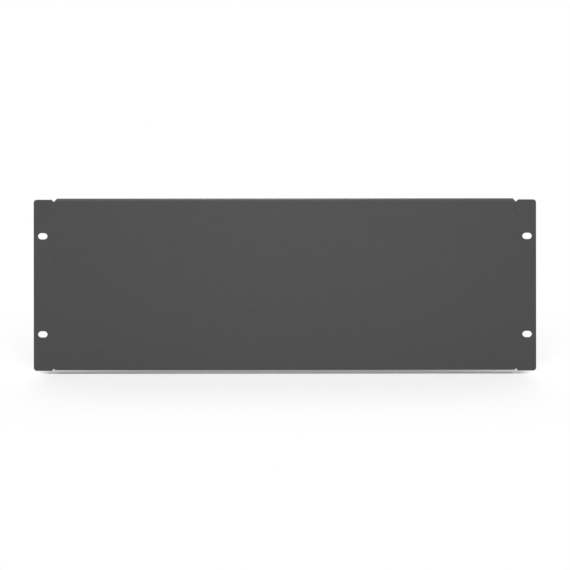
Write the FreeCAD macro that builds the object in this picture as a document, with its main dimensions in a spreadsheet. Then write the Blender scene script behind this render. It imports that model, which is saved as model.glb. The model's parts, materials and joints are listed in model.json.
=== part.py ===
import FreeCAD, Part
import math
import os
import Sketcher

# A 19-inch rack blanking panel, four rack units high, folded from one steel sheet.
# The frame is that of the mounted panel: +X along its width and +Z up, with the front
# face towards -Y. The origin is the centre of the slot pattern, on the ears' rear face,
# which seats on the rack's rails. All four quarters of the panel are alike, so the upper
# one at +X is modelled, and the middle planes mirror it.

NODE = "blanking_panel"

# Driving dimensions in millimetres, and in degrees where the name says angle or slope.
SIZES = {
    "panel_width": 482.6,
    "panel_height": 177.0,
    "sheet_thickness": 1.2,
    "ear_corner_radius": 3.2,
    "slot_side_margin": 8.75,
    "slot_end_margin": 37.7,
    "slot_length": 9.0,
    "slot_width": 6.8,
    "flange_depth": 4.5,
    "flange_setback": 0.2,
    "inner_bend_radius": 0.6,
    "notch_margin": 19.4,
    "notch_angle": 90.0,
    "notch_clearance": 0.2,
    "flange_end_slope": 15.0,
}

# Formulas that more than one feature uses. The notch is a V punched in the flat sheet
# before the fold: its point lies just below the bend, and its inner wall runs on through
# the bend, measured along the middle of the sheet's thickness.
HALF_WIDTH = "sizes.panel_width / 2"
HALF_HEIGHT = "sizes.panel_height / 2"
OUTER_BEND_RADIUS = "(sizes.inner_bend_radius + sizes.sheet_thickness)"
FLANGE_TOP_Z = f"({HALF_HEIGHT} - sizes.flange_setback)"
BEND_START_Z = f"({FLANGE_TOP_Z} - {OUTER_BEND_RADIUS})"
FREE_EDGE_Y = "(sizes.flange_depth - sizes.sheet_thickness)"
NOTCH_SPREAD = "tan(sizes.notch_angle / 2)"
NOTCH_X = f"({HALF_WIDTH} - sizes.notch_margin)"
NOTCH_POINT_Z = f"({BEND_START_Z} - sizes.notch_clearance)"
BEND_END_X = f"({NOTCH_X} - sizes.notch_clearance * {NOTCH_SPREAD})"
BEND_END_SHIFT = f"((sizes.inner_bend_radius + sizes.sheet_thickness / 2) * pi / 2 * {NOTCH_SPREAD})"
FLANGE_END_X = f"({BEND_END_X} - {BEND_END_SHIFT})"

# How a sketch numbers an edge's own points, and its origin, whose point counts as a start.
START, END, CENTRE = range(1, 4)
ORIGIN = -1

document = FreeCAD.newDocument("rack_blanking_panel")
sheet = document.addObject("Spreadsheet::Sheet", "sizes")
for row, (name, size) in enumerate(SIZES.items(), start=1):
    sheet.set(f"A{row}", str(size))
    sheet.setAlias(f"A{row}", name)
document.recompute()

panel = document.addObject("PartDesign::Body", NODE)
panel.Label = NODE
panel.Placement = FreeCAD.Placement(FreeCAD.Vector(0, 0, 0), FreeCAD.Rotation())


def plane(role):
    """Return the body's own origin plane with this role, such as XY_Plane."""
    return next(item for item in panel.Origin.OriginFeatures if item.Role == role)


def number(formula):
    """Work out a formula of the sheet as a plain number."""
    return float(panel.evalExpression(formula))


def spot(across, up):
    """Return the point at two formulas, given along a sketch's own axes."""
    return FreeCAD.Vector(number(across), number(up), 0)


def new_sketch(name, role):
    """Add an empty sketch on one of the body's origin planes."""
    sketch = panel.newObject("Sketcher::SketchObject", name)
    sketch.AttachmentSupport = [(plane(role), "")]
    sketch.MapMode = "FlatFace"
    return sketch


def draw_lines(sketch, *corners):
    """Draw straight edges from corner to corner, joined end to start, and return their numbers."""
    edges = []
    for start, end in zip(corners, corners[1:]):
        edges.append(sketch.addGeometry(Part.LineSegment(start, end), False))
    for before, after in zip(edges, edges[1:]):
        relate(sketch, "Coincident", before, END, after, START)
    return edges


def draw_arc(sketch, centre, radius, first_angle, last_angle):
    """Draw an anticlockwise arc between two angles in degrees and return its number."""
    circle = Part.Circle(centre, FreeCAD.Vector(0, 0, 1), number(radius))
    arc = Part.ArcOfCircle(circle, math.radians(first_angle), math.radians(last_angle))
    return sketch.addGeometry(arc, False)


def relate(sketch, kind, *places):
    """Add a constraint that has no size, such as Horizontal or Tangent."""
    sketch.addConstraint(Sketcher.Constraint(kind, *places))


def measure(sketch, name, formula, kind, *places):
    """Add a constraint with a size and bind that size to its formula."""
    index = sketch.addConstraint(Sketcher.Constraint(kind, *places, number(formula)))
    sketch.renameConstraint(index, name)
    sketch.setExpression(f"Constraints.{name}", formula)


def finish_feature(feature):
    """Rebuild the document with this feature as the body's last one."""
    panel.Tip = feature
    document.recompute()
    return feature


def pad(name, sketch, length):
    """Extrude a sketch along its normal by a formula's length."""
    feature = panel.newObject("PartDesign::Pad", name)
    feature.Profile = sketch
    feature.setExpression("Length", length)
    return finish_feature(feature)


def cut_through(name, sketch):
    """Cut a sketch's outline through the whole body, on both sides of its plane."""
    volume_before = panel.Shape.Volume
    feature = panel.newObject("PartDesign::Pocket", name)
    feature.Profile = sketch
    feature.SideType = "Symmetric"
    feature.Type = "ThroughAll"
    finish_feature(feature)
    if panel.Shape.Volume >= volume_before:
        raise RuntimeError(f"{name} cut nothing")
    return feature


def mirror(name, role):
    """Mirror the whole body across one of its origin planes."""
    feature = panel.newObject("PartDesign::Mirrored", name)
    feature.TransformMode = "Whole shape"
    feature.MirrorPlane = (plane(role), [""])
    return finish_feature(feature)


def fold_the_flange():
    """Pad the section of the bend and the flange behind it, as long as the bend's foot."""
    section = new_sketch("fold_section", "YZ_Plane")
    axis = spot("sizes.inner_bend_radius", BEND_START_Z)
    outer = draw_arc(section, axis, OUTER_BEND_RADIUS, 90, 180)
    inner = draw_arc(section, axis, "sizes.inner_bend_radius", 90, 180)
    top, free_edge, underside = draw_lines(
        section,
        spot("sizes.inner_bend_radius", FLANGE_TOP_Z),
        spot(FREE_EDGE_Y, FLANGE_TOP_Z),
        spot(FREE_EDGE_Y, f"{FLANGE_TOP_Z} - sizes.sheet_thickness"),
        spot("sizes.inner_bend_radius", f"{FLANGE_TOP_Z} - sizes.sheet_thickness"),
    )
    (foot,) = draw_lines(section, spot("0", BEND_START_Z), spot("-sizes.sheet_thickness", BEND_START_Z))
    relate(section, "Coincident", outer, CENTRE, inner, CENTRE)
    relate(section, "Tangent", outer, START, top, START)
    relate(section, "Tangent", underside, END, inner, START)
    relate(section, "Coincident", inner, END, foot, START)
    relate(section, "Coincident", foot, END, outer, END)
    relate(section, "Horizontal", top)
    relate(section, "Vertical", free_edge)
    relate(section, "Horizontal", underside)
    relate(section, "Horizontal", foot)
    relate(section, "Vertical", ORIGIN, START, foot, START)
    relate(section, "Horizontal", inner, CENTRE, inner, END)
    measure(section, "inner_radius", "sizes.inner_bend_radius", "Radius", inner)
    measure(section, "outer_radius", OUTER_BEND_RADIUS, "Radius", outer)
    measure(section, "free_edge_y", FREE_EDGE_Y, "DistanceX", ORIGIN, START, top, END)
    measure(section, "flange_top_z", FLANGE_TOP_Z, "DistanceY", ORIGIN, START, top, END)
    return pad("fold", section, BEND_END_X)


def trim_the_bend():
    """Cut the bend's end where the notch's wall winds round it, square to the sheet all the way."""
    ring = new_sketch("bend_trim_section", "XY_Plane")
    ring.setExpression("AttachmentOffset.Base.y", "sizes.inner_bend_radius")
    ring.setExpression("AttachmentOffset.Base.z", BEND_START_Z)
    near = "-sizes.inner_bend_radius / 2"
    far = f"-({OUTER_BEND_RADIUS} + sizes.inner_bend_radius / 2)"
    past_end = f"{BEND_END_X} + 2 * {BEND_END_SHIFT}"
    wall, outside, end, inside = draw_lines(
        ring,
        spot(BEND_END_X, near),
        spot(BEND_END_X, far),
        spot(past_end, far),
        spot(past_end, near),
        spot(BEND_END_X, near),
    )
    relate(ring, "Coincident", inside, END, wall, START)
    relate(ring, "Vertical", wall)
    relate(ring, "Vertical", end)
    relate(ring, "Horizontal", outside)
    relate(ring, "Horizontal", inside)
    measure(ring, "bend_end_x", BEND_END_X, "DistanceX", ORIGIN, START, wall, START)
    measure(ring, "past_end_x", past_end, "DistanceX", ORIGIN, START, end, START)
    measure(ring, "near_side", f"-({near})", "DistanceY", wall, START, ORIGIN, START)
    measure(ring, "far_side", f"-({far})", "DistanceY", wall, END, ORIGIN, START)
    trim = panel.newObject("PartDesign::SubtractiveHelix", "bend_trim")
    trim.Profile = ring
    trim.ReferenceAxis = (ring, ["H_Axis"])
    trim.Mode = "height-turns-angle"
    trim.setExpression("Height", BEND_END_SHIFT)
    trim.Turns = 0.25
    trim.Reversed = True
    return finish_feature(trim)


def trim_the_flange():
    """Cut the flange's end, which slopes inwards from the bend to the free edge."""
    outline = new_sketch("flange_end_outline", "XY_Plane")
    slope_run = f"({FREE_EDGE_Y} - sizes.inner_bend_radius) * tan(sizes.flange_end_slope)"
    front, side, back, end = draw_lines(
        outline,
        spot(FLANGE_END_X, "sizes.inner_bend_radius"),
        spot(BEND_END_X, "sizes.inner_bend_radius"),
        spot(BEND_END_X, FREE_EDGE_Y),
        spot(f"{FLANGE_END_X} - {slope_run}", FREE_EDGE_Y),
        spot(FLANGE_END_X, "sizes.inner_bend_radius"),
    )
    relate(outline, "Coincident", end, END, front, START)
    relate(outline, "Horizontal", front)
    relate(outline, "Vertical", side)
    relate(outline, "Horizontal", back)
    measure(outline, "front_y", "sizes.inner_bend_radius", "DistanceY", ORIGIN, START, front, START)
    measure(outline, "free_edge_y", FREE_EDGE_Y, "DistanceY", ORIGIN, START, back, END)
    measure(outline, "bend_end_x", BEND_END_X, "DistanceX", ORIGIN, START, front, END)
    measure(outline, "flange_end_x", FLANGE_END_X, "DistanceX", ORIGIN, START, front, START)
    measure(outline, "slope_run", slope_run, "DistanceX", back, END, front, START)
    return cut_through("flange_end", outline)


def lay_the_front_sheet():
    """Pad the flat sheet: the face up to the bend, the notch and the ear with its round corner."""
    outline = new_sketch("front_outline", "XZ_Plane")
    notch_depth = f"({HALF_HEIGHT} - {NOTCH_POINT_Z})"
    notch_opening = f"{notch_depth} * {NOTCH_SPREAD}"
    corner_x = f"({HALF_WIDTH} - sizes.ear_corner_radius)"
    corner_z = f"({HALF_HEIGHT} - sizes.ear_corner_radius)"
    middle, side = draw_lines(
        outline,
        spot("0", "0"),
        spot(HALF_WIDTH, "0"),
        spot(HALF_WIDTH, corner_z),
    )
    corner = draw_arc(outline, spot(corner_x, corner_z), "sizes.ear_corner_radius", 0, 90)
    ear_top, outer_wall, inner_wall, bend_line, centre_line = draw_lines(
        outline,
        spot(corner_x, HALF_HEIGHT),
        spot(f"{NOTCH_X} + {notch_opening}", HALF_HEIGHT),
        spot(NOTCH_X, NOTCH_POINT_Z),
        spot(BEND_END_X, BEND_START_Z),
        spot("0", BEND_START_Z),
        spot("0", "0"),
    )
    relate(outline, "Coincident", centre_line, END, middle, START)
    relate(outline, "Coincident", middle, START, ORIGIN, START)
    relate(outline, "Tangent", side, END, corner, START)
    relate(outline, "Tangent", corner, END, ear_top, START)
    for edge in (middle, ear_top, bend_line):
        relate(outline, "Horizontal", edge)
    for edge in (side, centre_line):
        relate(outline, "Vertical", edge)
    measure(outline, "half_width", HALF_WIDTH, "DistanceX", middle, START, middle, END)
    measure(outline, "half_height", HALF_HEIGHT, "DistanceY", ORIGIN, START, ear_top, END)
    measure(outline, "corner_radius", "sizes.ear_corner_radius", "Radius", corner)
    measure(outline, "notch_margin", "sizes.notch_margin", "DistanceX", outer_wall, END, middle, END)
    measure(outline, "notch_depth", notch_depth, "DistanceY", outer_wall, END, outer_wall, START)
    measure(outline, "notch_opening", notch_opening, "DistanceX", outer_wall, END, outer_wall, START)
    measure(outline, "bend_start_z", BEND_START_Z, "DistanceY", ORIGIN, START, bend_line, START)
    measure(outline, "bend_end_x", BEND_END_X, "DistanceX", ORIGIN, START, bend_line, START)
    return pad("front_sheet", outline, "sizes.sheet_thickness")


def punch_the_slot():
    """Cut the ear's slot, which is longer across the panel than its screw is wide."""
    outline = new_sketch("slot_outline", "XZ_Plane")
    radius = "sizes.slot_width / 2"
    reach = "(sizes.slot_length - sizes.slot_width) / 2"
    outer_x = f"({HALF_WIDTH} - sizes.slot_side_margin + {reach})"
    inner_x = f"({HALF_WIDTH} - sizes.slot_side_margin - {reach})"
    centre_z = f"({HALF_HEIGHT} - sizes.slot_end_margin)"
    top_z = f"({centre_z} + {radius})"
    bottom_z = f"({centre_z} - {radius})"
    outer_end = draw_arc(outline, spot(outer_x, centre_z), radius, -90, 90)
    inner_end = draw_arc(outline, spot(inner_x, centre_z), radius, 90, 270)
    (above,) = draw_lines(outline, spot(outer_x, top_z), spot(inner_x, top_z))
    (below,) = draw_lines(outline, spot(inner_x, bottom_z), spot(outer_x, bottom_z))
    relate(outline, "Tangent", outer_end, END, above, START)
    relate(outline, "Tangent", above, END, inner_end, START)
    relate(outline, "Tangent", inner_end, END, below, START)
    relate(outline, "Tangent", below, END, outer_end, START)
    relate(outline, "Horizontal", above)
    relate(outline, "Equal", outer_end, inner_end)
    measure(outline, "end_radius", radius, "Radius", outer_end)
    measure(outline, "top_z", top_z, "DistanceY", ORIGIN, START, above, START)
    measure(outline, "outer_x", outer_x, "DistanceX", ORIGIN, START, outer_end, CENTRE)
    measure(outline, "inner_x", inner_x, "DistanceX", ORIGIN, START, inner_end, CENTRE)
    return cut_through("rail_slot", outline)


def check_the_panel():
    """Stop if a feature failed or the panel isn't one whole solid."""
    for item in document.Objects:
        if "Invalid" in item.State or "Error" in item.State:
            raise RuntimeError(f"{item.Name} failed")
    shape = panel.Shape
    if shape.isNull() or not shape.isValid() or len(shape.Solids) != 1:
        raise RuntimeError(f"{NODE} isn't one valid solid")


fold_the_flange()
trim_the_bend()
trim_the_flange()
lay_the_front_sheet()
punch_the_slot()
mirror("other_side", "YZ_Plane")
mirror("lower_half", "XY_Plane")
check_the_panel()

os.makedirs("parts", exist_ok=True)
panel.Shape.exportStep(f"parts/{NODE}.step")
print(f"{NODE}: {panel.Shape.Volume:.1f} mm3, {len(panel.Shape.Faces)} faces")
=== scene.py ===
"""The looks of a four-unit rack blanking panel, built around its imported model, in metres.

The panel is one steel sheet under a fine-textured powder coat. Its mesh is made the way the
real one is: a flat blank is outlined with its notches and slots, gets its thickness and the
soft edges of its coat, and is then folded to the rear along its top and bottom.
"""

import json
import logging
import math
from dataclasses import dataclass
from enum import Enum

import bmesh
import bpy
from mathutils import Matrix, Vector, geometry

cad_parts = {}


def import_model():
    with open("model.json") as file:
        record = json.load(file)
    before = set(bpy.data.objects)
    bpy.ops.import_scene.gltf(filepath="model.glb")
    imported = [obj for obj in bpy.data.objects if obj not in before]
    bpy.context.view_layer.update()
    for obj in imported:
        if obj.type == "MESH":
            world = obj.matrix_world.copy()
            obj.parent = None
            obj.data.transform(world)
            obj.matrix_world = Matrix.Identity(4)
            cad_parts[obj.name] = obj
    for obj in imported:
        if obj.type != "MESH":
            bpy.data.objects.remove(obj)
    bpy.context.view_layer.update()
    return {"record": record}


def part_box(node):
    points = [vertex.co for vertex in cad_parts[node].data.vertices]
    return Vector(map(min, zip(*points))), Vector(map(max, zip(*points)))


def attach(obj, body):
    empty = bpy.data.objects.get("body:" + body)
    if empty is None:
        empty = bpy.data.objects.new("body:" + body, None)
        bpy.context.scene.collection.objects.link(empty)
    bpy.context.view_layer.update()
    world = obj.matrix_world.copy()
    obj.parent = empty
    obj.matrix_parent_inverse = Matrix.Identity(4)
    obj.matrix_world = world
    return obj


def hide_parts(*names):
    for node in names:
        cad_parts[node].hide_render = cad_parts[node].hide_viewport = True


LOG = logging.getLogger("rack_blanking_panel")

PANEL_NODE = "blanking_panel"
BODY = "root"
MM = 0.001
QUARTER_TURN = math.pi / 2
WHITE = (1.0, 1.0, 1.0, 1.0)
FULL_RANGE = (0.0, 1.0)


class Ray(Enum):
    """The kinds of ray that see a white background where other light is plain."""

    CAMERA = "Is Camera Ray"
    GLOSSY = "Is Glossy Ray"
    TRANSMISSION = "Is Transmission Ray"


class CoatMask(Enum):
    """What a vertex of the panel tells its finish, kept as a mesh attribute."""

    EDGE = "coat_edge"


class Socket(Enum):
    """The kinds of socket that a shader group takes and gives."""

    VALUE = "NodeSocketFloat"
    VECTOR = "NodeSocketVector"


@dataclass(frozen=True)
class SheetSizes:
    """The folded sheet's sizes in metres, and its angles in radians.

    The overall sizes and the slots come from the frame. The rest are the sheet's own details.
    """

    width: float
    height: float
    thickness: float
    flange_depth: float
    slot_gap_across: float
    slot_gap_upright: float
    slot_radius: float
    slot_length: float
    flange_setback: float = 0.2 * MM
    inner_bend_radius: float = 0.6 * MM
    ear_corner_radius: float = 3.2 * MM
    notch_margin: float = 19.4 * MM
    notch_clearance: float = 0.2 * MM
    notch_half_angle: float = math.radians(45.0)
    flange_end_slope: float = math.radians(15.0)
    small_corner_radius: float = 0.25 * MM
    flange_corner_radius: float = 0.6 * MM
    edge_radius: float = 0.2 * MM

    @classmethod
    def from_frame(cls, record: dict) -> "SheetSizes":
        """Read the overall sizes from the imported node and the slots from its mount.

        Args:
            record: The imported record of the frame.

        Returns:
            The sizes of the panel in the frame.
        """
        low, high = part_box(PANEL_NODE)
        slots = next(mount["dims"] for mount in record["mounts"] if mount["kind"] == "bolt_pattern")
        return cls(
            width=high.x - low.x,
            height=high.z - low.z,
            thickness=-low.y,
            flange_depth=high.y - low.y,
            slot_gap_across=slots["spacing_x_mm"] * MM,
            slot_gap_upright=slots["spacing_y_mm"] * MM,
            slot_radius=slots["hole_r_mm"] * MM,
            slot_length=slots["slot_length_mm"] * MM,
        )

    @property
    def outer_bend_radius(self) -> float:
        """The bend's radius on the front side of the sheet."""
        return self.inner_bend_radius + self.thickness

    @property
    def neutral_radius(self) -> float:
        """The bend's radius at the middle of the sheet, where its length doesn't change."""
        return self.inner_bend_radius + self.thickness / 2

    @property
    def bend_start(self) -> float:
        """How far above the middle the flat face ends and the bend starts."""
        return self.height / 2 - self.flange_setback - self.outer_bend_radius

    @property
    def bend_end(self) -> float:
        """How far above the middle the bend ends, measured on the flat blank."""
        return self.bend_start + self.neutral_radius * QUARTER_TURN

    @property
    def flange_run(self) -> float:
        """The length of the flange's flat stretch, from the bend to its free edge."""
        return self.flange_depth - self.outer_bend_radius

    @property
    def notch_x(self) -> float:
        """How far from the middle the notch's point lies."""
        return self.width / 2 - self.notch_margin

    @property
    def notch_point(self) -> float:
        """How far above the middle the notch's point lies."""
        return self.bend_start - self.notch_clearance


class Blank:
    """The flat blank in its own plane, with its outline, its slots and a mesh between them."""

    LEAST_ARC_STEPS = 3
    CLEARANCE_IN_CELLS = 0.4
    # These two are for the triangulation: what it keeps, and how close two points are one.
    ONLY_INSIDE_OUTLINE = 1
    SAME_POINT_WITHIN_MM = 1e-6

    def __init__(
        self, sizes: SheetSizes, cell: float = 6 * MM, bend_steps: int = 12, arc_steps: int = 12
    ) -> None:
        """Keep the sizes and how finely the blank is divided.

        Args:
            sizes: The sheet's sizes.
            cell: The length of a cell on the flat stretches.
            bend_steps: The rows of cells round a bend.
            arc_steps: The steps of a quarter circle.
        """
        self.sizes = sizes
        self.cell = cell
        self.bend_steps = bend_steps
        self.arc_steps = arc_steps

    def arc(self, centre: Vector, radius: float, first: float, last: float, steps: int) -> list[Vector]:
        """Sample an arc, both ends included.

        Args:
            centre: The arc's centre.
            radius: Its radius.
            first: The angle of its first point, in radians.
            last: The angle of its last point.
            steps: How many steps it is divided into.

        Returns:
            The points along the arc.
        """
        turns = (first + (last - first) * step / steps for step in range(steps + 1))
        return [centre + radius * Vector((math.cos(turn), math.sin(turn))) for turn in turns]

    def rounded(self, before: Vector, corner: Vector, after: Vector, radius: float) -> list[Vector]:
        """Replace a corner of the outline with an arc that is tangent to both of its edges.

        Args:
            before: A point on the edge that comes in.
            corner: The sharp corner.
            after: A point on the edge that goes out.
            radius: The arc's radius.

        Returns:
            The points along the arc, in the outline's direction.
        """
        back, ahead = (before - corner).normalized(), (after - corner).normalized()
        half_angle = back.angle(ahead) / 2
        centre = corner + (back + ahead).normalized() * radius / math.sin(half_angle)
        start = corner + back * radius / math.tan(half_angle) - centre
        end = corner + ahead * radius / math.tan(half_angle) - centre
        first = math.atan2(start.y, start.x)
        turn = math.remainder(math.atan2(end.y, end.x) - first, math.tau)
        steps = max(self.LEAST_ARC_STEPS, round(self.arc_steps * abs(turn) / QUARTER_TURN))
        return self.arc(centre, radius, first, first + turn, steps)

    def quarter(self) -> list[Vector]:
        """Outline the quarter of the blank at the upper right, from the ear's side to the free edge.

        Returns:
            Its points, anticlockwise.
        """
        s = self.sizes
        spread = math.tan(s.notch_half_angle)
        bend_length = s.bend_end - s.bend_start
        side = Vector((s.width / 2, 0))
        ear_corner = Vector((s.width / 2, s.height / 2))
        notch_top = Vector((s.notch_x + (s.height / 2 - s.notch_point) * spread, s.height / 2))
        notch_point = Vector((s.notch_x, s.notch_point))
        bend_foot = Vector((s.notch_x - s.notch_clearance * spread, s.bend_start))
        bend_top = bend_foot + Vector((-bend_length * spread, bend_length))
        free_corner = bend_top + Vector((-s.flange_run * math.tan(s.flange_end_slope), s.flange_run))
        free_middle = Vector((0, free_corner.y))
        points = self.rounded(side, ear_corner, notch_top, s.ear_corner_radius)
        points += self.rounded(ear_corner, notch_top, notch_point, s.small_corner_radius)
        points += self.rounded(notch_top, notch_point, bend_foot, s.small_corner_radius)
        points += [bend_foot.lerp(bend_top, step / self.bend_steps) for step in range(self.bend_steps + 1)]
        points += self.rounded(bend_top, free_corner, free_middle, s.flange_corner_radius)
        return points

    def outline(self) -> list[Vector]:
        """Outline the whole blank, anticlockwise, from its quarter and that quarter's mirror images.

        Returns:
            The outline's points, with the straight stretches divided into cells.
        """
        right = self.quarter()
        upper = right + [Vector((-point.x, point.y)) for point in reversed(right)]
        return self.divided(upper + [Vector((point.x, -point.y)) for point in reversed(upper)])

    def slots(self) -> list[list[Vector]]:
        """Outline the four slots, clockwise, so that the sheet lies on the left of each outline.

        Returns:
            One list of points for each slot.
        """
        s = self.sizes
        reach = Vector((s.slot_length / 2 - s.slot_radius, 0))
        outlines = []
        for across in (-s.slot_gap_across / 2, s.slot_gap_across / 2):
            for up in (-s.slot_gap_upright / 2, s.slot_gap_upright / 2):
                centre = Vector((across, up))
                steps = 2 * self.arc_steps
                right_end = self.arc(centre + reach, s.slot_radius, QUARTER_TURN, -QUARTER_TURN, steps)
                left_end = self.arc(centre - reach, s.slot_radius, -QUARTER_TURN, -3 * QUARTER_TURN, steps)
                outlines.append(right_end + left_end)
        return outlines

    def divided(self, points: list[Vector]) -> list[Vector]:
        """Divide the long straight edges of a closed outline into cells.

        Args:
            points: The outline's points.

        Returns:
            The same outline with no edge much longer than a cell.
        """
        made = []
        for start, end in zip(points, points[1:] + points[:1]):
            steps = max(1, round((end - start).length / self.cell))
            made += [start.lerp(end, step / steps) for step in range(steps)]
        return made

    def inward(self, points: list[Vector]) -> list[Vector]:
        """Find the way into the sheet at each point of an outline that has the sheet on its left.

        Args:
            points: The outline's points.

        Returns:
            One vector for each point. Moved along it by a distance, the outline's edges all move
            inwards by that distance.
        """
        ways = []
        for before, point, after in zip(points[-1:] + points[:-1], points, points[1:] + points[:1]):
            came, goes = (point - before).normalized(), (after - point).normalized()
            first, second = Vector((-came.y, came.x)), Vector((-goes.y, goes.x))
            ways.append((first + second) / (1 + first.dot(second)))
        return ways

    def grid(self, loops: list[list[Vector]]) -> tuple[list[Vector], list[list[Vector]]]:
        """Lay out the points inside the blank, clear of its outlines.

        Args:
            loops: The outline and the slots' outlines.

        Returns:
            The loose points on the face and the rows of points along the bends, each row from one
            end of the bend to the other.
        """
        s = self.sizes
        rows = self.bend_rows(loops[0])
        foot = rows[0]
        columns = [point.x for point in foot]
        pitch = columns[2] - columns[1]
        ears = math.floor((s.width / 2 - foot[-1].x) / pitch)
        beyond = [foot[-1].x + pitch * step for step in range(1, ears + 1)]
        columns = sorted(columns + beyond + [-x for x in beyond])
        levels = 2 * round(abs(foot[0].y) / self.cell)
        heights = [abs(foot[0].y) * (2 * level / levels - 1) for level in range(1, levels)]
        edges = [point for loop in loops for point in loop]
        face = [Vector((x, y)) for x in columns for y in heights]
        return [point for point in face if self.is_clear(point, edges)], rows

    def is_clear(self, point: Vector, edges: list[Vector]) -> bool:
        """Tell whether a point is off the slots and well clear of every outline's points."""
        clearance = self.CLEARANCE_IN_CELLS * self.cell
        return not self.is_in_slot(point) and all((point - edge).length > clearance for edge in edges)

    def is_in_slot(self, point: Vector) -> bool:
        """Tell whether a point lies in one of the slots or on its rounded edge.

        Args:
            point: The point.

        Returns:
            True where the flat faces have no sheet because of a slot.
        """
        s = self.sizes
        across = max(abs(abs(point.x) - s.slot_gap_across / 2) - s.slot_length / 2 + s.slot_radius, 0)
        up = abs(abs(point.y) - s.slot_gap_upright / 2)
        return math.hypot(across, up) < s.slot_radius + s.edge_radius

    def bend_rows(self, outline: list[Vector]) -> list[list[Vector]]:
        """Lay a row of points across the blank at each step of each bend.

        Args:
            outline: The blank's outline as the flat faces have it.

        Returns:
            The rows, those of the upper bend first, from its foot up.
        """
        s = self.sizes
        # This outline lies an edge radius inside the sharp one, so its bends start a little lower.
        slack = 2 * s.edge_radius
        wall = [p for p in outline if p.x > 0 and s.bend_start - slack <= abs(p.y) <= s.bend_end]
        wall = [p for p in wall if p.x < s.notch_x - s.notch_clearance / 2]
        count = round(2 * wall[0].x / self.cell)
        rows = []
        for end in wall:
            start = Vector((-end.x, end.y))
            rows.append([start.lerp(end, step / count) for step in range(count + 1)])
        return sorted(rows, key=lambda row: (row[0].y < 0, abs(row[0].y)))

    @staticmethod
    def nearest(points: list[Vector], spot: Vector) -> int:
        """Find the number of the point that lies nearest to a spot."""
        return min(range(len(points)), key=lambda i: (points[i] - spot).length)

    @staticmethod
    def middle(points: list[Vector], face: list[int]) -> Vector:
        """Find the middle of a face, which is given as the numbers of its points."""
        return sum((points[i] for i in face), Vector((0, 0))) / len(face)

    def triangles(self, loops: list[list[Vector]]) -> tuple[list[Vector], list[tuple[int, ...]]]:
        """Fill the blank between its outlines.

        Args:
            loops: The outlines as the flat faces have them. Their points come first, in order.

        Returns:
            All points, and the triangles between them, anticlockwise.
        """
        loose, rows = self.grid(loops)
        points, edges = [], []
        for loop in loops:
            first = len(points)
            points += loop
            edges += [(first + i, first + (i + 1) % len(loop)) for i in range(len(loop))]
        for row in rows:
            left, right = (self.nearest(loops[0], end) for end in (row[0], row[-1]))
            first = len(points)
            points += row[1:-1]
            chain = [left, *range(first, len(points)), right]
            edges += list(zip(chain, chain[1:]))
        points += loose
        in_mm = [point / MM for point in points]
        made = geometry.delaunay_2d_cdt(
            in_mm, edges, [], self.ONLY_INSIDE_OUTLINE, self.SAME_POINT_WITHIN_MM
        )
        flat = [point * MM for point in made[0]]
        if len(flat) != len(points):
            raise RuntimeError(f"the blank's mesh has {len(flat)} points for {len(points)}")
        faces = [face for face in made[2] if not self.is_in_slot(self.middle(flat, face))]
        return flat, faces


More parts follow.
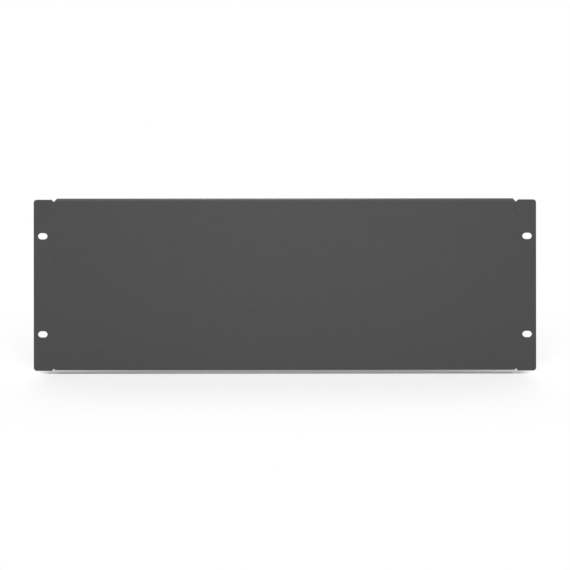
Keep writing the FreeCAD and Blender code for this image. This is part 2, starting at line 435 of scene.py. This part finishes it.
class FoldedSheet:
    """The panel's mesh: the blank with its thickness and soft edges, folded at the top and bottom."""

    # Two triangles become one four-sided face where it is this flat and this close to a rectangle.
    FLAT_WITHIN = math.radians(1)
    SQUARE_WITHIN = math.radians(20)

    def __init__(self, sizes: SheetSizes, blank: Blank, edge_steps: int = 4) -> None:
        """Keep the sizes, the blank and how finely its edges are rounded.

        Args:
            sizes: The sheet's sizes.
            blank: The flat blank.
            edge_steps: The steps round each of the sheet's edges.
        """
        self.sizes = sizes
        self.blank = blank
        self.edge_steps = edge_steps

    def turn_at(self, point: Vector) -> float:
        """Find how far the bend has turned at a point of the blank.

        Args:
            point: A point of the flat blank.

        Returns:
            The angle in radians: none on the face and the ears, a quarter turn on the flanges.
        """
        if abs(point.x) >= self.sizes.notch_x:
            return 0.0
        past = abs(point.y) - self.sizes.bend_start
        return min(max(past / self.sizes.neutral_radius, 0), QUARTER_TURN)

    def place(self, point: Vector, depth: float) -> Vector:
        """Fold a point of the blank into the panel's frame.

        Args:
            point: A point of the flat blank.
            depth: How far in front of the sheet's rear side the point lies.

        Returns:
            Its place in the frame.
        """
        s = self.sizes
        turn = self.turn_at(point)
        if turn == 0:
            return Vector((point.x, -depth, point.y))
        radius = s.inner_bend_radius + depth
        straight = max(abs(point.y) - s.bend_end, 0)
        behind = s.inner_bend_radius - radius * math.cos(turn) + straight
        above = s.bend_start + radius * math.sin(turn)
        return Vector((point.x, behind, math.copysign(above, point.y)))

    def facing(self, point: Vector, depth: float, outward: Vector, lean: float) -> Vector:
        """Find the way a spot on the sheet's surface faces.

        Args:
            point: The spot's point of the flat blank.
            depth: How far in front of the sheet's rear side the spot lies.
            outward: The way out of the sheet there, within the blank's plane.
            lean: The angle from that way towards the sheet's front side.

        Returns:
            The surface's unit normal in the frame.
        """
        s = self.sizes
        turn, side = self.turn_at(point), math.copysign(1, point.y)
        is_bent = 0 < turn < QUARTER_TURN
        # Round a bend the sheet's front is stretched and its rear pressed, which turns a slanting cut.
        stretch = (s.inner_bend_radius + depth) / s.neutral_radius if is_bent else 1.0
        front = Vector((0, -math.cos(turn), side * math.sin(turn)))
        up = Vector((0, side * math.sin(turn), math.cos(turn)))
        level = (Vector((outward.x * stretch, 0, 0)) + up * outward.y).normalized()
        return (level * math.cos(lean) + front * math.sin(lean)).normalized()

    def stations(self) -> list[tuple[float, float, float]]:
        """Describe the rim's section between the flat front and the flat rear.

        Returns:
            For each row of points, how far inwards it lies, its depth and its surface's lean.
        """
        radius, thickness = self.sizes.edge_radius, self.sizes.thickness
        leans = [QUARTER_TURN * (1 - step / self.edge_steps) for step in range(self.edge_steps + 1)]
        front = [
            (radius * (1 - math.cos(lean)), thickness - radius * (1 - math.sin(lean)), lean)
            for lean in leans
        ]
        rear = [(inset, thickness - depth, -lean) for inset, depth, lean in reversed(front)]
        return front + rear

    def build(self) -> bpy.types.Object:
        """Make the panel's object, with smooth normals and the mask of its rounded edges.

        Returns:
            The new object, linked to the scene.
        """
        radius, thickness = self.sizes.edge_radius, self.sizes.thickness
        sharp = [self.blank.outline(), *self.blank.slots()]
        ways = [self.blank.inward(loop) for loop in sharp]
        loops = [
            [point + way * radius for point, way in zip(loop, loop_ways)]
            for loop, loop_ways in zip(sharp, ways)
        ]
        flat, triangles = self.blank.triangles(loops)
        places, normals, edge_mask, faces = [], [], [], []
        for depth, lean in ((thickness, QUARTER_TURN), (0.0, -QUARTER_TURN)):
            places += [self.place(point, depth) for point in flat]
            normals += [self.facing(point, depth, Vector((0, 0)), lean) for point in flat]
            edge_mask += [0.0] * len(flat)
        faces += [tuple(face) for face in triangles]
        faces += [tuple(len(flat) + i for i in reversed(face)) for face in triangles]
        first_of_loop = 0
        for loop, loop_ways in zip(sharp, ways):
            count = len(loop)
            front_row = list(range(first_of_loop, first_of_loop + count))
            rows = [front_row]
            for inset, depth, lean in self.stations()[1:-1]:
                rows.append(list(range(len(places), len(places) + count)))
                for point, way in zip(loop, loop_ways):
                    spot = point + way * inset
                    places.append(self.place(spot, depth))
                    normals.append(self.facing(spot, depth, -way.normalized(), lean))
                    edge_mask.append(abs(math.cos(lean)))
            rows.append([len(flat) + i for i in front_row])
            for near, far in zip(rows, rows[1:]):
                for i in range(count):
                    after = (i + 1) % count
                    faces.append((near[after], near[i], far[i], far[after]))
            first_of_loop += count
        return self.finished(places, normals, edge_mask, faces)

    def finished(
        self,
        places: list[Vector],
        normals: list[Vector],
        edge_mask: list[float],
        faces: list[tuple[int, ...]],
    ) -> bpy.types.Object:
        """Put the points and faces into a mesh, join its triangles in pairs and shade it smoothly.

        Args:
            places: The points.
            normals: The surface's normal at each point.
            edge_mask: How much each point belongs to a rounded edge.
            faces: The faces as numbers of their points.

        Returns:
            The new object, linked to the scene.
        """
        mesh = bpy.data.meshes.new("folded_sheet")
        mesh.from_pydata(places, [], faces)
        mask = mesh.attributes.new(CoatMask.EDGE.value, "FLOAT", "POINT")
        mask.data.foreach_set("value", edge_mask)
        paired = bmesh.new()
        paired.from_mesh(mesh)
        bmesh.ops.join_triangles(
            paired,
            faces=paired.faces[:],
            angle_face_threshold=self.FLAT_WITHIN,
            angle_shape_threshold=self.SQUARE_WITHIN,
        )
        paired.to_mesh(mesh)
        paired.free()
        mesh.polygons.foreach_set("use_smooth", [True] * len(mesh.polygons))
        mesh.normals_split_custom_set_from_vertices(normals)
        panel = bpy.data.objects.new("folded_panel", mesh)
        bpy.context.scene.collection.objects.link(panel)
        return panel


class Nodes:
    """A thin layer over a node tree that adds and joins nodes in few words."""

    def __init__(self, tree: bpy.types.NodeTree) -> None:
        """Start with an empty tree."""
        self.tree = tree
        self.tree.nodes.clear()

    def add(self, kind: str, inputs: dict | None = None, **settings: object) -> bpy.types.Node:
        """Add a node.

        Args:
            kind: The node's type name.
            inputs: For each input, by name or number, a plain value or the output to join to it.
            settings: The node's own settings.

        Returns:
            The new node.
        """
        node = self.tree.nodes.new(kind)
        for name, value in settings.items():
            setattr(node, name, value)
        for name, value in (inputs or {}).items():
            if isinstance(value, bpy.types.NodeSocket):
                self.tree.links.new(value, node.inputs[name])
            else:
                node.inputs[name].default_value = value
        return node

    def maths(self, operation: str, *values: object) -> bpy.types.NodeSocket:
        """Add a Math node and return its value."""
        return self.add("ShaderNodeMath", dict(enumerate(values)), operation=operation).outputs[0]

    def vector(self, operation: str, *values: object) -> bpy.types.Node:
        """Add a Vector Math node and return it."""
        return self.add("ShaderNodeVectorMath", dict(enumerate(values)), operation=operation)

    def noise(self, place: bpy.types.NodeSocket, grain: object, detail: float) -> bpy.types.NodeSocket:
        """Add a noise whose grain is given in metres.

        Args:
            place: The place that it is read at.
            grain: The size of its grain, as a value or an output.
            detail: Its levels of detail.

        Returns:
            Its value, about 0.5 on average.
        """
        scale = self.maths("DIVIDE", 1.0, grain)
        texture = self.add("ShaderNodeTexNoise", {"Vector": place, "Scale": scale, "Detail": detail})
        return texture.outputs[0]

    def ramp(
        self, value: bpy.types.NodeSocket, before: tuple[float, float], after: tuple[float, float]
    ) -> bpy.types.NodeSocket:
        """Map one range of a value to another.

        Args:
            value: The value.
            before: The range that is read.
            after: The range that it becomes.

        Returns:
            The new value.
        """
        names = ("From Min", "From Max", "To Min", "To Max")
        inputs = dict(zip(names, (*before, *after)), Value=value)
        return self.add("ShaderNodeMapRange", inputs).outputs[0]

    def mix(self, share: object, first: object, second: object) -> bpy.types.NodeSocket:
        """Mix two values.

        Args:
            share: The second value's share, from 0 to 1.
            first: The first value.
            second: The second value.

        Returns:
            The mixed value.
        """
        inputs = {"Factor": share, "A": first, "B": second}
        return self.add("ShaderNodeMix", inputs, data_type="FLOAT").outputs["Result"]


class Group:
    """A shader node group with named inputs and outputs."""

    def __init__(self, name: str, inputs: dict[str, Socket], outputs: dict[str, Socket]) -> None:
        """Make an empty group.

        Args:
            name: The group's name.
            inputs: The kind of each input's socket.
            outputs: The kind of each output's socket.
        """
        self.tree = bpy.data.node_groups.new(name, "ShaderNodeTree")
        self.nodes = Nodes(self.tree)
        for way, sockets in (("INPUT", inputs), ("OUTPUT", outputs)):
            for socket, kind in sockets.items():
                self.tree.interface.new_socket(socket, in_out=way, socket_type=kind.value)
        self.given = self.nodes.add("NodeGroupInput").outputs
        self.result = self.nodes.add("NodeGroupOutput").inputs

    def give(self, **values: bpy.types.NodeSocket) -> None:
        """Join one output of the group to each value named."""
        for name, value in values.items():
            self.tree.links.new(value, self.result[name])

    def place_in(self, nodes: Nodes, inputs: dict) -> bpy.types.Node:
        """Put the group into a material's tree with its own values."""
        return nodes.add("ShaderNodeGroup", inputs, node_tree=self.tree)


class CoatEffects:
    """The effects that a powder coat is made of, each one a shader node group.

    A noise's values crowd round 0.5, so each effect reads only the middle of their range.
    """

    PLAIN_DETAIL = 2.0
    FINE_DETAIL = 3.0
    GRAIN_SMOOTHNESS = 0.6
    GRAINS_PER_SWELL = 2.2
    SWELL_READ = (0.25, 0.75)
    SWELL_HEIGHT = (0.45, 1.0)
    TONE_READ = (0.3, 0.7)
    BREAK_READ = (0.35, 0.65)
    BROKEN_LINE = (0.2, 1.0)

    def __init__(self) -> None:
        """Build each group once."""
        self.pebble = self.make_pebble()
        self.mottle = self.make_mottle()
        self.thin_edge = self.make_thin_edge()

    def make_pebble(self) -> Group:
        """Build the fine grain that a textured coat cures to: low rounded grains of uneven height.

        Returns:
            The group, which puts out a Height from 0 to 1.
        """
        sockets = {"Place": Socket.VECTOR, "Grain": Socket.VALUE}
        group = Group("coat_pebble", sockets, {"Height": Socket.VALUE})
        nodes, given = group.nodes, group.given
        scale = nodes.maths("DIVIDE", 1.0, given["Grain"])
        grains = nodes.add(
            "ShaderNodeTexVoronoi",
            {"Vector": given["Place"], "Scale": scale, "Smoothness": self.GRAIN_SMOOTHNESS},
            feature="SMOOTH_F1",
        )
        rounded = nodes.maths("SUBTRACT", 1.0, grains.outputs["Distance"])
        swell = nodes.maths("MULTIPLY", given["Grain"], self.GRAINS_PER_SWELL)
        swells = nodes.noise(given["Place"], swell, self.PLAIN_DETAIL)
        uneven = nodes.ramp(swells, self.SWELL_READ, self.SWELL_HEIGHT)
        group.give(Height=nodes.maths("MULTIPLY", rounded, uneven))
        return group

    def make_mottle(self) -> Group:
        """Build the slight change of tone from fleck to fleck and from one wide patch to the next.

        Returns:
            The group, which puts out a Tone from 0 to 1.
        """
        sockets = {
            "Place": Socket.VECTOR,
            "Fleck": Socket.VALUE,
            "Patch": Socket.VALUE,
            "Patch Share": Socket.VALUE,
        }
        group = Group("coat_mottle", sockets, {"Tone": Socket.VALUE})
        nodes, given = group.nodes, group.given
        tones = []
        for grain, detail in ((given["Fleck"], self.FINE_DETAIL), (given["Patch"], self.PLAIN_DETAIL)):
            noise = nodes.noise(given["Place"], grain, detail)
            tones.append(nodes.ramp(noise, self.TONE_READ, FULL_RANGE))
        group.give(Tone=nodes.mix(given["Patch Share"], *tones))
        return group

    def make_thin_edge(self) -> Group:
        """Build the broken line along a rounded edge, where a coat draws thin as it cures.

        Returns:
            The group, which puts out a Thin mask from 0 to 1.
        """
        sockets = {"Place": Socket.VECTOR, "Edge": Socket.VALUE, "Break": Socket.VALUE}
        group = Group("coat_thin_edge", sockets, {"Thin": Socket.VALUE})
        nodes, given = group.nodes, group.given
        noise = nodes.noise(given["Place"], given["Break"], self.PLAIN_DETAIL)
        broken = nodes.ramp(noise, self.BREAK_READ, self.BROKEN_LINE)
        group.give(Thin=nodes.maths("MULTIPLY", given["Edge"], broken))
        return group


@dataclass(frozen=True)
class PowderCoat:
    """A satin powder coat with a fine texture. Lengths are in metres.

    The pebble is rough up to the first of its pebble_read heights and smooth from the second.
    """

    dark_tone: float = 0.054
    light_tone: float = 0.060
    edge_tone: float = 0.080
    gloss: float = 0.3
    smooth: float = 0.42
    rough: float = 0.50
    edge_roughness: float = 0.42
    pebble_read: tuple[float, float] = (0.2, 0.9)
    grain: float = 0.9 * MM
    relief: float = 0.09 * MM
    fleck: float = 4 * MM
    patch: float = 90 * MM
    patch_share: float = 0.2
    edge_break: float = 4 * MM

    def material(self, effects: CoatEffects) -> bpy.types.Material:
        """Make the coat's material.

        Args:
            effects: The shader groups of a powder coat.

        Returns:
            The new material.
        """
        material = bpy.data.materials.new("charcoal_powder_coat")
        material.use_nodes = True
        nodes = Nodes(material.node_tree)
        place = nodes.add("ShaderNodeTexCoord").outputs["Object"]
        edge = nodes.add("ShaderNodeAttribute", attribute_name=CoatMask.EDGE.value).outputs["Fac"]
        pebble = effects.pebble.place_in(nodes, {"Place": place, "Grain": self.grain}).outputs["Height"]
        tones = {"Place": place, "Fleck": self.fleck, "Patch": self.patch, "Patch Share": self.patch_share}
        mottle = effects.mottle.place_in(nodes, tones).outputs["Tone"]
        edge_line = {"Place": place, "Edge": edge, "Break": self.edge_break}
        thin = effects.thin_edge.place_in(nodes, edge_line).outputs["Thin"]
        face_tone = nodes.ramp(mottle, FULL_RANGE, (self.dark_tone, self.light_tone))
        tone = nodes.mix(thin, face_tone, self.edge_tone)
        grey = nodes.add("ShaderNodeCombineColor", {"Red": tone, "Green": tone, "Blue": tone})
        face_roughness = nodes.ramp(pebble, self.pebble_read, (self.rough, self.smooth))
        roughness = nodes.mix(thin, face_roughness, self.edge_roughness)
        bump = nodes.add("ShaderNodeBump", {"Height": pebble, "Distance": self.relief, "Strength": 1.0})
        shader = nodes.add(
            "ShaderNodeBsdfPrincipled",
            {
                "Base Color": grey.outputs["Color"],
                "Roughness": roughness,
                "Specular IOR Level": self.gloss,
                "Normal": bump.outputs["Normal"],
            },
        )
        nodes.add("ShaderNodeOutputMaterial", {"Surface": shader.outputs["BSDF"]})
        return material


@dataclass(frozen=True)
class Lamp:
    """A soft rectangular lamp that is aimed at a point on the panel, with its length along the panel.

    Its level is what a white surface that faces it at that point renders at, as a share of white.
    Its spread is the full angle that a grid in front of it lets through.
    """

    name: str
    place: tuple[float, float, float]
    length: float
    breadth: float
    level: float
    aim: tuple[float, float, float] = (0.0, 0.0, 0.0)
    spread: float = math.pi

    def build(self) -> None:
        """Add the lamp to the scene, where it lights things but isn't seen itself."""
        light = bpy.data.lights.new(self.name, "AREA")
        light.shape = "RECTANGLE"
        light.size, light.size_y = self.length, self.breadth
        light.spread = self.spread
        way = Vector(self.aim) - Vector(self.place)
        # A grid gathers the light in a narrow beam, so the lamp needs less power for its level.
        grid_share = 1 - self.spread / 2 / math.tan(self.spread / 2)
        # The ends of a long lamp shine from further away and at a slant, so it needs more power.
        half_length = self.length / 2 / way.length
        length_loss = (half_length / (1 + half_length**2) + math.atan(half_length)) / (2 * half_length)
        light.energy = self.level * math.pi**2 * way.length_squared * grid_share / length_loss
        lamp = bpy.data.objects.new(self.name, light)
        lamp.location = self.place
        back = -way.normalized()
        along = (Vector((1, 0, 0)) - back * back.x).normalized()
        lamp.rotation_euler = Matrix((along, back.cross(along), back)).transposed().to_euler()
        lamp.visible_camera = False
        bpy.context.scene.collection.objects.link(lamp)


@dataclass(frozen=True)
class Studio:
    """The pale floor, the plain soft light and the camera. Lengths are in metres.

    The floor is plain paper up to white_from away from the panel, and white from white_to on. Past
    a flange's end, a distance along the panel counts side_weight times close to the panel's plane,
    and half as many times at side_reach in front of that plane or behind it. That is painted light:
    the floor is painted white over most of the shadow that the panel casts under its ears.
    """

    floor_gap: float = 3.2 * MM
    floor_radius: float = 20.0
    floor_segments: int = 64
    floor_colour: float = 0.90
    white_from: float = 0.04
    white_to: float = 0.16
    side_weight: float = 12.0
    side_reach: float = 15 * MM
    world_level: float = 0.44
    lamps: tuple[Lamp, ...] = (
        Lamp("overhead_strip", (0.02, -0.08, 2.0), length=3.6, breadth=0.03, level=0.58),
        Lamp("front_softbox", (0.01, -0.72, 0.01), length=0.3, breadth=0.18, level=0.26),
        Lamp(
            "rear_rim_lamp",
            (-0.02, 0.60, 0.435),
            length=0.2,
            breadth=0.1,
            level=0.24,
            aim=(-0.02, 0.0, 0.088),
            spread=math.radians(22.0),
        ),
    )
    camera_elevation: float = math.radians(22.0)
    camera_roll: float = math.radians(-0.05)
    camera_distance: float = 2.5
    camera_width: float = 0.5475
    camera_aim: tuple[float, float, float] = (0.00007, 0.0, -0.00014)

    def white_rays(self, nodes: Nodes) -> bpy.types.NodeSocket:
        """Tell the rays that see a white background from those that only carry light.

        Args:
            nodes: The tree that the light path node goes into.

        Returns:
            1 for camera, glossy and transmission rays, and 0 for others.
        """
        path = nodes.add("ShaderNodeLightPath").outputs
        camera, glossy, transmission = (path[ray.value] for ray in Ray)
        return nodes.maths("MAXIMUM", nodes.maths("MAXIMUM", camera, glossy), transmission)

    def build_floor(self, half_flange: float, below: float) -> None:
        """Lay the floor under the panel.

        Args:
            half_flange: How far the panel's flanges reach to each side.
            below: The height of the panel's lowest point.
        """
        mesh = bpy.data.meshes.new("floor")
        round_floor = bmesh.new()
        bmesh.ops.create_circle(
            round_floor, cap_ends=True, segments=self.floor_segments, radius=self.floor_radius
        )
        round_floor.to_mesh(mesh)
        round_floor.free()
        floor = bpy.data.objects.new("floor", mesh)
        floor.location.z = below - self.floor_gap
        bpy.context.scene.collection.objects.link(floor)
        mesh.materials.append(self.floor_material(half_flange))

    def floor_material(self, half_flange: float) -> bpy.types.Material:
        """Make the floor's paper, which carries the panel's shadow and turns evenly white further off.

        Past the flanges' ends it turns white sooner, which is painted light: white painted over most of
        the panel's shadow under its ears. In front of the panel and behind it that eases
        off, so that the shadow has no sharp end from above.

        Args:
            half_flange: How far the panel's flanges reach to each side.

        Returns:
            The new material.
        """
        material = bpy.data.materials.new("white_floor")
        material.use_nodes = True
        nodes = Nodes(material.node_tree)
        place = nodes.add("ShaderNodeTexCoord").outputs["Object"]
        either_side = nodes.vector("ABSOLUTE", place).outputs[0]
        past_end = nodes.vector("SUBTRACT", either_side, (half_flange, 0.0, 0.0)).outputs[0]
        clear_of_panel = nodes.vector("MAXIMUM", past_end, (0.0, 0.0, 0.0)).outputs[0]
        clear = nodes.add("ShaderNodeSeparateXYZ", {"Vector": clear_of_panel}).outputs
        # Painted light: past the flanges' ends the floor turns white sooner and covers most of the shadow
        # under the ears.
        spreading = nodes.maths("ADD", 1.0, nodes.maths("DIVIDE", clear["Y"], self.side_reach))
        sideways = nodes.maths("DIVIDE", nodes.maths("MULTIPLY", clear["X"], self.side_weight), spreading)
        weighed = nodes.add("ShaderNodeCombineXYZ", {"X": sideways, "Y": clear["Y"]}).outputs[0]
        distance = nodes.vector("LENGTH", weighed).outputs["Value"]
        far = nodes.ramp(distance, (self.white_from, self.white_to), FULL_RANGE)
        white_rays = self.white_rays(nodes)
        tone = nodes.ramp(white_rays, FULL_RANGE, (self.floor_colour, 1.0))
        paper = nodes.add("ShaderNodeBsdfDiffuse", {"Color": tone}).outputs["BSDF"]
        white = nodes.add("ShaderNodeEmission", {"Color": WHITE, "Strength": 1.0}).outputs[0]
        share = nodes.maths("MULTIPLY", far, white_rays)
        mixed = nodes.add("ShaderNodeMixShader", {0: share, 1: paper, 2: white}).outputs[0]
        nodes.add("ShaderNodeOutputMaterial", {"Surface": mixed})
        material.cycles.emission_sampling = "NONE"
        return material

    def build_world(self) -> None:
        """Light the scene evenly from all round, before a background that looks white."""
        world = bpy.data.worlds.new("studio")
        bpy.context.scene.world = world
        world.use_nodes = True
        nodes = Nodes(world.node_tree)
        strength = nodes.ramp(self.white_rays(nodes), FULL_RANGE, (self.world_level, 1.0))
        light = nodes.add("ShaderNodeBackground", {"Color": WHITE, "Strength": strength}).outputs[0]
        nodes.add("ShaderNodeOutputWorld", {"Surface": light})

    def build_camera(self) -> None:
        """Set up the camera at the photograph's viewing angle."""
        camera = bpy.data.cameras.new("photo_view")
        camera.type = "ORTHO"
        camera.ortho_scale = self.camera_width
        holder = bpy.data.objects.new("photo_view", camera)
        rise, back = math.sin(self.camera_elevation), math.cos(self.camera_elevation)
        holder.location = Vector(self.camera_aim) + self.camera_distance * Vector((0, -back, rise))
        holder.rotation_mode = "XYZ"
        holder.rotation_euler = (QUARTER_TURN - self.camera_elevation, 0, 0)
        bpy.context.view_layer.update()
        holder.rotation_euler.rotate_axis("Z", self.camera_roll)
        bpy.context.scene.collection.objects.link(holder)
        bpy.context.scene.camera = holder

    def build(self, sizes: SheetSizes) -> None:
        """Build the floor, the light and the camera.

        Args:
            sizes: The sizes of the panel that stands in the studio.
        """
        bpy.context.scene.view_settings.view_transform = "Standard"
        self.build_floor(sizes.notch_x, -sizes.height / 2)
        self.build_world()
        for lamp in self.lamps:
            lamp.build()
        self.build_camera()
        LOG.info("studio: floor %.1f mm below the panel", self.floor_gap / MM)


class PanelPiece:
    """The whole panel as one piece of the frame, with its finish."""

    def __init__(self, sizes: SheetSizes, finish: PowderCoat) -> None:
        """Keep the sizes and the finish."""
        self.sizes = sizes
        self.finish = finish

    def build(self, effects: CoatEffects) -> bpy.types.Object:
        """Make the panel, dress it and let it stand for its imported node.

        Args:
            effects: The shader groups of a powder coat.

        Returns:
            The panel's object.
        """
        piece = FoldedSheet(self.sizes, Blank(self.sizes)).build()
        piece.data.materials.append(self.finish.material(effects))
        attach(piece, BODY)
        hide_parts(PANEL_NODE)
        LOG.info("%s: %d faces in place of %s", piece.name, len(piece.data.polygons), PANEL_NODE)
        return piece


def main() -> None:
    """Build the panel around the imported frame, then the studio."""
    logging.basicConfig(level=logging.INFO, format="%(name)s: %(message)s")
    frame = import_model()
    sizes = SheetSizes.from_frame(frame["record"])
    PanelPiece(sizes, PowderCoat()).build(CoatEffects())
    Studio().build(sizes)


if __name__ == "__main__":
    main()
